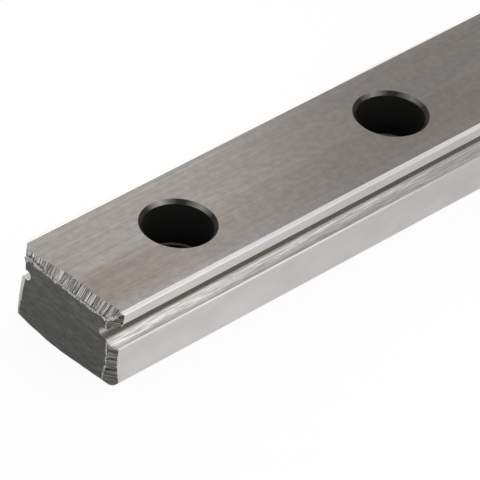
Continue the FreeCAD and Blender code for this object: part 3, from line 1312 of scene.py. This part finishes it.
@dataclass
class HandGroundEnd:
    """An end that was cut off, then beveled round its outline by hand.

    Attributes:
        length: The rail's length.
        height: The rail's height.
        side: Half the rail's width.
        setback: How far the end face lies inside the rail's full length at its middle.
        lean: How much the end face turns from square.
        saw: How far the block that takes the end off reaches along the rail, and past its
            base and top.
        facets: The bevels round it.
    """

    length: float
    height: float
    side: float
    setback: float = 0.09 * MM
    lean: float = 0.010
    saw: tuple[float, float] = (2.0 * MM, 1.0 * MM)
    facets: Sequence[GroundFacet] = FACETS

    def grind(self, bar: Piece) -> None:
        """Cuts both ends, the second as a copy of the first that is turned half round.

        Args:
            bar: The bar with its raceways and holes.
        """
        end = EndFace(-self.length / 2 + self.setback, self.lean, self.height, self.side)
        makers = (FiledCorner(), *self.facets)
        for tool in [self.build_saw(end), *(maker.build_tool(end) for maker in makers)]:
            twin = copy_of(tool, "far_" + tool.name)
            twin.rotation_euler = (0.0, 0.0, math.pi)
            fix_place(twin)
            cut_with(bar, tool)
            cut_with(bar, twin)

    def build_saw(self, end: EndFace) -> Piece:
        """The block that takes the end off, a little out of square.

        Args:
            end: The end face.

        Returns:
            The closed block.
        """
        wide = 2 * end.side
        along, over = self.saw
        saw = add_box("end_face_tool", (end.x - along, -wide, -over), (end.x, wide, end.height + over))
        turn = {"value": math.atan(end.lean), "orient_axis": "Z", "center_override": (end.x, 0.0, 0.0)}
        with editing(saw, everything=True):
            bpy.ops.transform.rotate(**turn)
        set_finish(saw, Finish.END_FACE)
        return saw


@dataclass
class Burrs:
    """The bright burrs that the belt left along the borders of the bevels.

    Attributes:
        low: The lowest corner that they may reach.
        high: The highest one.
        radius: The burr's middle radius.
        borders: The pairs of finishes that meet in a burr.
        merge_within: Points of its line closer than this become one.
        smoothing: How many times its line is smoothed.
        mean: Its mean thickness before the gains, as a share of the middle radius.
        thinnest: Its least thickness before the gains.
        unevenness: The strength of each layer of its unevenness, and its lumps per metre.
        top_level: From how high a burr counts as one of the top bevel.
        top_gain: How many times as thick those are.
        heap_start: How far to the left of the middle the burr starts to swell.
        heap_length: How far on it reaches its full size.
        heap_gain: How much of its thickness is added there.
    """

    low: Vector
    high: Vector
    radius: float = 0.085 * MM
    borders: Sequence[tuple[Finish, Finish]] = (
        (Finish.END_FACE, Finish.TOP_BEVEL),
        (Finish.END_FACE, Finish.SIDE_BEVEL),
        (Finish.TOP_BEVEL, Finish.SIDE_BEVEL),
        (Finish.FLANK, Finish.SIDE_BEVEL),
        (Finish.LIP, Finish.SIDE_BEVEL),
    )
    merge_within: float = 0.02 * MM
    smoothing: int = 1
    mean: float = 0.85
    thinnest: float = 0.3
    unevenness: Sequence[tuple[float, float]] = ((0.75, 3100.0), (0.55, 7900.0))
    top_level: float = 6.3 * MM
    top_gain: float = 1.45
    heap_start: float = 2.2 * MM
    heap_length: float = 2.6 * MM
    heap_gain: float = 0.8

    def thickness(self, place: Vector) -> float:
        """How thick the burr is at a place, as a share of its middle radius.

        Args:
            place: The place on its line.

        Returns:
            The share.
        """
        left = place.y if place.x < 0 else -place.y
        heap = min(1.0, max(0.0, (left - self.heap_start) / self.heap_length))
        rough = sum(strength * noise.noise(place * lumps) for strength, lumps in self.unevenness)
        gain = self.top_gain if place.z > self.top_level else 1.0
        return max(self.thinnest, self.mean + rough) * gain * (1.0 + self.heap_gain * heap)

    def build(self, rail: Piece) -> Piece:
        """Models the burrs along the rail's bevels.

        Args:
            rail: The finished rail.

        Returns:
            The burrs as one piece.
        """
        finishes = finishes_by_edge(rail.data)
        wanted = [{int(a), int(b)} for a, b in self.borders]
        select_edges(rail, lambda edge: finishes.get(edge.key, set()) in wanted)
        with editing(rail, "EDGE"):
            bpy.ops.mesh.duplicate()
            bpy.ops.mesh.separate(type="SELECTED")
        burrs = next(item for item in bpy.context.selected_objects if item is not rail)
        burrs.name = "bevel_burrs"
        with editing(burrs, "VERT", everything=True):
            bpy.ops.mesh.remove_doubles(threshold=self.merge_within)
            bpy.ops.mesh.vertices_smooth(factor=0.5, repeat=self.smoothing)
        take(burrs)
        bpy.ops.object.convert(target="CURVE")
        curve = burrs.data
        curve.bevel_depth = self.radius
        curve.bevel_resolution = 1
        curve.use_fill_caps = True
        for spline in curve.splines:
            for point in spline.points:
                point.radius = self.thickness(point.co.xyz)
        bpy.ops.object.convert(target="MESH")
        turn_outwards(burrs)
        for vertex in burrs.data.vertices:
            for axis in range(3):
                vertex.co[axis] = min(self.high[axis], max(self.low[axis], vertex.co[axis]))
        burrs.data.materials.clear()
        burrs.data.materials.append(bpy.data.materials[STEELS[Finish.BURR].name])
        return burrs


@dataclass
class GuideRail:
    """The whole rail.

    Attributes:
        low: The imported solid's lowest corner.
        high: Its highest corner.
        hole_pitch: From one screw hole to the next.
        first_hole: From the end to the first screw hole.
        overrun: How far the raceways' cut goes on past each end.
    """

    low: Vector
    high: Vector
    hole_pitch: float = 25.0 * MM
    first_hole: float = 12.5 * MM
    overrun: float = 2.0 * MM

    def build(self) -> list[Piece]:
        """Models and dresses the rail.

        Returns:
            The rail and its burrs.
        """
        size = self.high - self.low
        side = size.y / 2
        rail = Bar(size.x, size.y, size.z).build()
        raceway = Raceway(side, size.z, size.x + 2 * self.overrun)
        for way in (-1, 1):
            raceway.cut(rail, way)
        pitches = round((size.x - 2 * self.first_hole) / self.hole_pitch)
        start = self.low.x + self.first_hole
        ScrewHole(size.z).cut(rail, [start + number * self.hole_pitch for number in range(pitches + 1)])
        HandGroundEnd(size.x, size.z, side).grind(rail)
        burrs = Burrs(self.low, self.high).build(rail)
        self.shade(rail)
        take(burrs)
        bpy.ops.object.shade_smooth_by_angle(angle=BURR_SMOOTH_ANGLE)
        for piece in (rail, burrs):
            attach(piece, BODY)
        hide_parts(NODE)
        return [rail, burrs]

    def shade(self, rail: Piece) -> None:
        """Shades the rail smooth, with a sharp edge wherever two finishes meet.

        Args:
            rail: The finished rail.
        """
        finishes = finishes_by_edge(rail.data)
        select_edges(rail, lambda edge: len(finishes[edge.key]) > 1)
        with editing(rail, "EDGE"):
            bpy.ops.mesh.mark_sharp()
        take(rail)
        bpy.ops.object.shade_smooth_by_angle(angle=SMOOTH_ANGLE, keep_sharp_edges=True)


@dataclass(frozen=True)
class Lamp:
    """A soft rectangular lamp.

    Attributes:
        name: The lamp's name.
        place: Where it is.
        target: The point that it faces.
        size: Its width and height.
        power: Its power in watts.
        colour: Its colour.
    """

    name: str
    place: Triple
    target: Triple
    size: tuple[float, float]
    power: float
    colour: Colour = (1.0, 1.0, 1.0)

    def build(self) -> None:
        """Adds the lamp."""
        data = bpy.data.lights.new(self.name, "AREA")
        data.shape = "RECTANGLE"
        data.size, data.size_y = self.size
        data.energy = self.power
        data.color = self.colour
        lamp = add_object(self.name, data)
        lamp.visible_camera = False
        lamp.location = self.place
        lamp.rotation_euler = (Vector(self.target) - Vector(self.place)).to_track_quat("-Z", "Y").to_euler()


@dataclass
class Studio:
    """The floor, the light and the camera.

    Attributes:
        floor_size: The floor's width.
        paper: The floor's colour where it has no glow.
        paper_roughness: How rough it is.
        background: The brightness of the background.
        fill: The strength of the surrounding light.
        floor_glow: How much of the floor's whiteness is its own.
        lens: The lens's length in millimetres.
        sensor: The camera's picture width in millimetres.
        clip: The nearest and the farthest that it sees.
        eye: Where the camera is.
        azimuth: The way it looks from, in degrees.
        elevation: How high it looks from, in degrees.
        roll: How far it is turned about its own axis, in degrees.
        lamps: The lamps.
    """

    floor_size: float = 6.0
    paper: Colour = (0.9, 0.9, 0.9)
    paper_roughness: float = 0.9
    background: float = 1.0
    fill: float = 0.8
    floor_glow: float = 0.93
    lens: float = 347.194
    sensor: float = 36.0
    clip: tuple[float, float] = (0.01, 20.0)
    eye: Triple = (-0.257338, -0.205257, 0.238702)
    azimuth: float = -47.94998
    elevation: float = 37.67530
    roll: float = 6.41236
    lamps: Sequence[Lamp] = (
        Lamp("back_softbox", (0.190, 0.326, 0.056), (-0.025, 0.006, 0.0075), (0.30, 0.10), 0.07),
        Lamp("top_softbox", (-0.0170, 0.0307, 0.0411), (-0.0495, 0.0015, 0.0075), (0.032, 0.032), 0.0057),
        Lamp("edge_softbox", (-0.005, -0.0485, 0.0418), (-0.047, -0.0055, 0.006), (0.04, 0.10), 0.0105),
    )

    def build(self) -> None:
        """Sets up the whole studio."""
        self.build_floor()
        self.build_world()
        for lamp in self.lamps:
            lamp.build()
        self.build_camera()
        bpy.context.scene.view_settings.view_transform = "Standard"

    def sees_background(self, nodes: Nodes) -> Socket:
        """A mask for the rays that show the background: camera, glossy and transmission rays.

        Args:
            nodes: The writer of the node tree.

        Returns:
            The mask, 0 or 1.
        """
        path = nodes.add("ShaderNodeLightPath").outputs
        camera_or_glossy = nodes.math("MAXIMUM", path["Is Camera Ray"], path["Is Glossy Ray"])
        return nodes.math("MAXIMUM", camera_or_glossy, path["Is Transmission Ray"])

    def build_floor(self) -> None:
        """Adds the pale floor, which keeps the rail's shadow."""
        bpy.ops.mesh.primitive_plane_add(size=self.floor_size)
        floor = bpy.context.object
        floor.name = "studio_floor"
        material = bpy.data.materials.new("studio_floor_paper")
        material.use_nodes = True
        nodes = Nodes(material.node_tree)
        seen = self.sees_background(nodes)
        look = {"Base Color": (*self.paper, 1.0), "Roughness": self.paper_roughness}
        paper = nodes.add("ShaderNodeBsdfPrincipled", look)
        glow = nodes.add("ShaderNodeEmission", {"Color": (1.0, 1.0, 1.0, 1.0), "Strength": self.background})
        share = nodes.math("MULTIPLY", seen, self.floor_glow)
        mixed = nodes.add("ShaderNodeMixShader", {0: share, 1: paper.outputs[0], 2: glow.outputs[0]})
        nodes.add("ShaderNodeOutputMaterial", {"Surface": mixed.outputs[0]})
        floor.data.materials.append(material)

    def build_world(self) -> None:
        """Adds the surrounding light, white where it is seen."""
        world = bpy.data.worlds.new("studio_light")
        world.use_nodes = True
        nodes = Nodes(world.node_tree)
        seen = self.sees_background(nodes)
        strength = nodes.spread(seen, 0.0, 1.0, self.fill, self.background)
        light = nodes.add("ShaderNodeBackground", {"Color": (1.0, 1.0, 1.0, 1.0), "Strength": strength})
        nodes.add("ShaderNodeOutputWorld", {"Surface": light.outputs[0]})
        bpy.context.scene.world = world

    def build_camera(self) -> None:
        """Adds the camera at the photograph's viewing angle."""
        turn, rise, roll = (math.radians(v) for v in (self.azimuth, self.elevation, self.roll))
        back = Vector((math.sin(turn) * math.cos(rise), -math.cos(turn) * math.cos(rise), math.sin(rise)))
        level = Vector((math.cos(turn), math.sin(turn), 0.0))
        up = back.cross(level)
        right = math.cos(roll) * level + math.sin(roll) * up
        data = bpy.data.cameras.new("photo_camera")
        data.lens = self.lens
        data.sensor_width = self.sensor
        data.clip_start, data.clip_end = self.clip
        camera = add_object("photo_camera", data)
        axes = Matrix((right, back.cross(right), back)).transposed().to_4x4()
        camera.matrix_world = Matrix.Translation(self.eye) @ axes
        bpy.context.scene.camera = camera


def main() -> None:
    """Builds the rail and the studio, and reports each piece."""
    logging.basicConfig(level=logging.INFO, format="%(name)s: %(message)s")
    grain = (("Lines", 1.0, 0.0), ("Bands", 0.21, 0.0))
    make_noise_group("grinding_grain", detail=2.0, roughness=0.6, masks=grain)
    mottle = (("First", 1.0, 0.0), ("Second", 1.0, 17.3))
    make_noise_group("steel_mottle", detail=3.0, roughness=0.55, masks=mottle)
    make_ridge_group()
    for steel in STEELS.values():
        steel.build()
    for piece in GuideRail(*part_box(NODE)).build():
        log.info("%s stands finished, %d faces", piece.name, len(piece.data.polygons))
    Studio().build()


if __name__ == "__main__":
    main()
